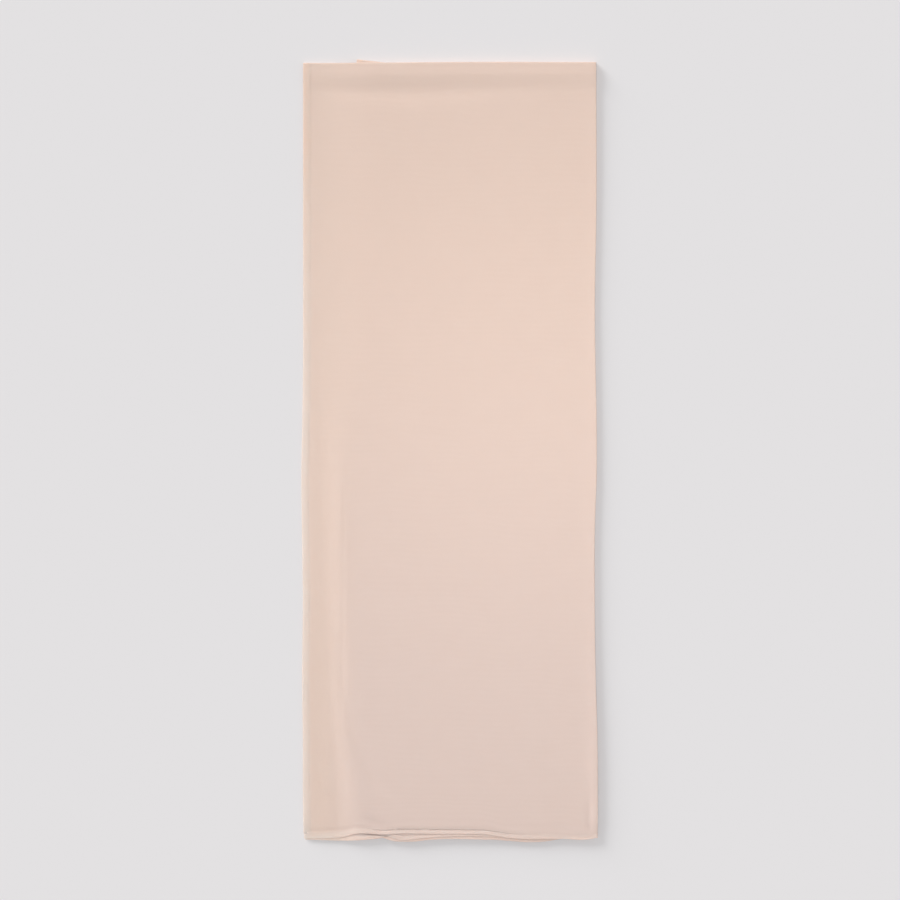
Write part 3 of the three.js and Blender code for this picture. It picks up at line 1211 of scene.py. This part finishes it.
@dataclass
class Hem:
    """A narrow hem along one edge of the cut, turned twice and stitched."""

    edge: Edge
    form: FoldedForm
    finish: bpy.types.Material
    thread: bpy.types.Material
    nodes: tuple[str, ...]
    step: float = 3.0
    # how far a side's and an end's hem stop short of the cut's corners
    side_tuck: float = 7.0
    end_tuck: float = 0.6
    # an end hem's width as a share of a side's, and the groove of the section
    end_width: float = 0.68
    groove: float = 9.0
    # how thick a band's closed ends are, and the length over which it thins to them
    closed_share: float = 0.4
    closing: float = 3.0
    stitch_pitch: float = 2.7
    stitch_length: float = 1.9
    seam_start: float = 1.5
    thread_radius: float = 0.1
    thread_taper: float = 0.45
    thread_arch: float = 0.06
    # levels of the thread off the cloth's middle on its right and wrong face
    seats: tuple[float, float] = (0.1, -0.18)

    @property
    def section(self) -> Array:
        """The section's inset and height; the ends' hems are a little narrower."""
        whole = np.array(RIGHT_FACE + WRONG_FACE, float)
        return whole if self.on_side else whole * (self.end_width, 1.0)

    @property
    def stitch_inset(self) -> float:
        """Distance of the stitching from the edge: where the section has its groove."""
        return self.groove if self.on_side else self.groove * self.end_width

    @property
    def on_side(self) -> bool:
        """Whether the hem runs along the cut, not across it."""
        return self.edge in (Edge.OPEN_SIDE, Edge.TUCKED_SIDE)

    @property
    def far(self) -> bool:
        """Whether its edge is the far one of its direction."""
        return self.edge in (Edge.TUCKED_SIDE, Edge.INNER_END)

    def run(self) -> Array:
        """Stations along the hem, closer round the turn in its middle.

        Returns:
            The stations.
        """
        form = self.form
        if self.on_side:
            start, stop = self.side_tuck, form.length - self.side_tuck
            turn, arc = form.half_length, form.crease_arc
        else:
            start, stop = self.end_tuck, form.width - self.end_tuck
            turn, arc = form.front_width, form.fold_arc
        return stations(
            (start, start + 4, 1),
            (start + 4, turn - 8, self.step),
            (turn - 8, turn, 2),
            (turn, turn + arc, arc / 12),
            (turn + arc, turn + arc + 8, 2),
            (turn + arc + 8, stop - 4, 2 * self.step if self.on_side else self.step),
            (stop - 4, stop, 1),
        )

    def points(self, inset: Array, run: Array, off: Array) -> tuple[Array, Array]:
        """Points of the hem and their places on the cut.

        Args:
            inset: distances from the edge.
            run: places along the hem.
            off: distances off the cloth's middle surface.

        Returns:
            Points in mm and places on the cut in metres.
        """
        form = self.form
        size = form.width if self.on_side else form.length
        aside = size - inset if self.far else inset
        s, t = (aside, run) if self.on_side else (run, aside)
        s, t, off = np.broadcast_arrays(s, t, off)
        return form.place(s, t, off), np.stack([s, t], -1) * MM

    def pucker(self, run: Array) -> Array:
        """Slow and quick unevenness along the seam: a sum of three sines of its length.

        Args:
            run: places along the hem.

        Returns:
            A factor near 1 for the band's thickness.
        """
        shift = 1.7 * list(Edge).index(self.edge)
        slow = np.sin(run / 17.3 + shift) + 0.7 * np.sin(run / 7.9 + 2.1 * shift)
        return 1 + 0.06 * slow + 0.04 * np.sin(run / 2.9 + shift)

    def build(self) -> bpy.types.Object:
        """The band: the hem's section carried along the edge, thinner at its closed ends.

        Returns:
            The band's object.
        """
        run = self.run()
        inset, off = self.section.T
        from_ends = np.minimum(run - run[0], run[-1] - run)
        thinned = lerp(self.closed_share, 1.0, ease(from_ends / self.closing))
        thick = thinned * self.pucker(run)
        points, uv = self.points(inset[None, :], run[:, None], off[None, :] * thick[:, None])
        rows, columns = len(run), len(self.section)
        faces = grid_faces(rows, columns, closed=True)
        # the section runs inwards on the right face; a far edge and a side each mirror it
        if self.far == self.on_side:
            faces = faces[:, ::-1]
        first = list(range(columns))
        last = [n + (rows - 1) * columns for n in range(columns)]
        caps = [first, last[::-1]] if self.far == self.on_side else [first[::-1], last]
        band = make_piece(
            self.edge.value,
            points.reshape(-1, 3),
            faces.tolist() + caps,
            uv.reshape(-1, 2),
            self.finish,
        )
        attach(band, "root")
        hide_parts(*self.nodes)
        return band

    def stitches(self) -> bpy.types.Object:
        """The two faces of the lockstitch, each a row of short arched lengths of thread.

        A length's radius and its height follow half a sine from end to end.

        Returns:
            The seam's object.
        """
        run = self.run()
        last = run[-1] - self.stitch_length - self.seam_start
        starts = np.arange(run[0] + self.seam_start, last, self.stitch_pitch)
        rings, sides = 4, 4
        share = np.linspace(0, 1, rings)[None, :, None]
        angles = np.linspace(0, 2 * math.pi, sides, endpoint=False)[None, None, :]
        places = starts[:, None, None] + self.stitch_length * share
        swell = np.sin(math.pi * share)
        radius = self.thread_radius * lerp(1.0, swell, self.thread_taper)
        length_faces = grid_faces(rings, sides, closed=True)
        cap = np.arange(sides)
        length_faces = np.concatenate([length_faces, [cap[::-1]], [cap + (rings - 1) * sides]])
        parts, maps, quads = [], [], []
        for face, seat in zip((1, -1), self.seats):
            inset = self.stitch_inset + radius * np.cos(angles)
            off = seat + face * (self.thread_arch * swell + radius * np.sin(angles))
            points, uv = self.points(inset, places, off)
            base = sum(map(len, parts))
            parts.append(points.reshape(-1, 3))
            maps.append(uv.reshape(-1, 2))
            turned = (face > 0) == (self.far == self.on_side)
            one = length_faces[:, ::-1] if turned else length_faces
            offsets = base + np.arange(len(starts)) * rings * sides
            quads.append((offsets[:, None, None] + one[None]).reshape(-1, 4))
        seam = make_piece(
            self.edge.value.replace("hem", "stitches"),
            np.concatenate(parts),
            np.concatenate(quads).tolist(),
            np.concatenate(maps),
            self.thread,
        )
        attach(seam, "root")
        return seam


@dataclass
class Scarf:
    """The folded scarf: its cloth, four hems and their stitching."""

    form: FoldedForm = field(default_factory=FoldedForm)
    cut: tuple[float, float] = (0.7, 2.0)

    def build(self) -> list[bpy.types.Object]:
        """Builds and reports every piece, each parented to the root body.

        Returns:
            The cloth, its hems and their stitching.
        """
        georgette = CrepeGeorgette().build()
        doubled = CrepeGeorgette(
            name="crepe_georgette_doubled",
            flow_depth=0.0,
            bleed=0.5,
        ).build()
        thread = SewingThread().build()
        sheet = Cloth(self.form, georgette).build()
        log.info("%s: %d triangles", sheet.name, triangles(sheet))
        with_pieces = []
        for edge, nodes in (
            (Edge.OPEN_SIDE, ("front_side_hem", "inner_side_hem")),
            (Edge.TUCKED_SIDE, ("back_side_hem",)),
            (Edge.OUTER_END, ("front_end_hem", "back_end_hem")),
            (Edge.INNER_END, ("inner_front_end_hem", "inner_back_end_hem")),
        ):
            hem = Hem(edge, self.form, doubled, thread, nodes)
            for piece in (hem.build(), hem.stitches()):
                with_pieces.append(piece)
                log.info("%s: %d triangles", piece.name, triangles(piece))
        return [sheet, *with_pieces]


# The studio


@dataclass
class Studio:
    """Pale floor, low soft light from the upper left, and a camera straight above."""

    frame_width: float = 1156.5
    centre: tuple[float, float] = (1.0, 0.3)
    height: float = 3600.0
    sensor: float = 36.0
    floor_drop: float = 0.15
    floor_reach: float = 12000.0
    key_strength: float = 2.29
    key_elevation: float = 17.0
    key_azimuth: float = 135.0
    key_softness: float = 30.0
    top_strength: float = 1.245
    top_elevation: float = 90.0
    top_softness: float = 24.0
    sky_strength: float = 0.36
    glow_power: float = 0.7
    glow_place: tuple[float, float, float] = (145.0, 60.0, 600.0)
    glow_size: float = 300.0

    def floor(self) -> None:
        """A large plane just under the cloth."""
        corners = np.array([(-1, -1), (1, -1), (1, 1), (-1, 1)], float) * self.floor_reach
        points = np.column_stack([corners, np.full(4, -self.floor_drop)])
        floor = make_piece("floor", points, [[0, 1, 2, 3]], corners * MM, PaperFloor().build())
        log.info("floor: %d triangles", triangles(floor))

    def camera(self) -> None:
        """Straight down, framing the given width at the table."""
        data = bpy.data.cameras.new("camera")
        data.sensor_width = self.sensor
        data.lens = self.sensor * self.height / self.frame_width
        data.clip_end = 50.0
        camera = bpy.data.objects.new("camera", data)
        camera.location = Vector((*self.centre, self.height)) * MM
        bpy.context.scene.collection.objects.link(camera)
        bpy.context.scene.camera = camera
        log.info("camera: %.1f mm lens", data.lens)

    def sun(self, name: str, strength: float, softness: float, height: float) -> None:
        """A soft distant lamp at the key's azimuth.

        Args:
            name: the lamp's name.
            strength: its irradiance, facing it.
            softness: its width in degrees.
            height: its elevation in degrees.
        """
        data = bpy.data.lights.new(name, "SUN")
        data.energy = strength
        data.angle = math.radians(softness)
        lamp = bpy.data.objects.new(name, data)
        elevation, azimuth = math.radians(height), math.radians(self.key_azimuth)
        flat = math.cos(elevation)
        towards = Vector(
            (flat * math.cos(azimuth), flat * math.sin(azimuth), math.sin(elevation))
        )
        lamp.rotation_euler = towards.to_track_quat("Z", "Y").to_euler()
        bpy.context.scene.collection.objects.link(lamp)
        log.info("%s: strength %.2f", name, strength)

    def lights(self) -> None:
        """A low key from the upper left, a broad top light and a weak even sky."""
        self.sun("key", self.key_strength, self.key_softness, self.key_elevation)
        self.sun("top", self.top_strength, self.top_softness, self.top_elevation)
        world = bpy.data.worlds.new("sky")
        world.use_nodes = True
        background = world.node_tree.nodes["Background"]
        background.inputs["Color"].default_value = (1.0, 1.0, 1.0, 1.0)
        background.inputs["Strength"].default_value = self.sky_strength
        bpy.context.scene.world = world
        bpy.context.scene.view_settings.view_transform = "Standard"

    def glow(self, cloth: list[bpy.types.Object]) -> None:
        """A weak soft lamp over the right half that lights the cloth alone.

        Args:
            cloth: the pieces that it lights.
        """
        data = bpy.data.lights.new("glow", "AREA")
        data.shape = "DISK"
        data.size = self.glow_size * MM
        data.energy = self.glow_power
        lamp = bpy.data.objects.new("glow", data)
        lamp.location = Vector(self.glow_place) * MM
        lamp.visible_camera = False
        bpy.context.scene.collection.objects.link(lamp)
        lit = bpy.data.collections.new("lit_cloth")
        for piece in cloth:
            lit.objects.link(piece)
        lamp.light_linking.receiver_collection = lit
        log.info("glow: %d pieces", len(cloth))

    def build(self) -> None:
        """Sets up camera, lights and floor."""
        self.camera()
        self.lights()
        self.floor()


def main() -> None:
    """Builds the studio and the scarf."""
    logging.basicConfig(level=logging.INFO, format="%(name)s: %(message)s")
    studio = Studio()
    studio.build()
    studio.glow(Scarf().build())


if __name__ == "__main__":
    main()
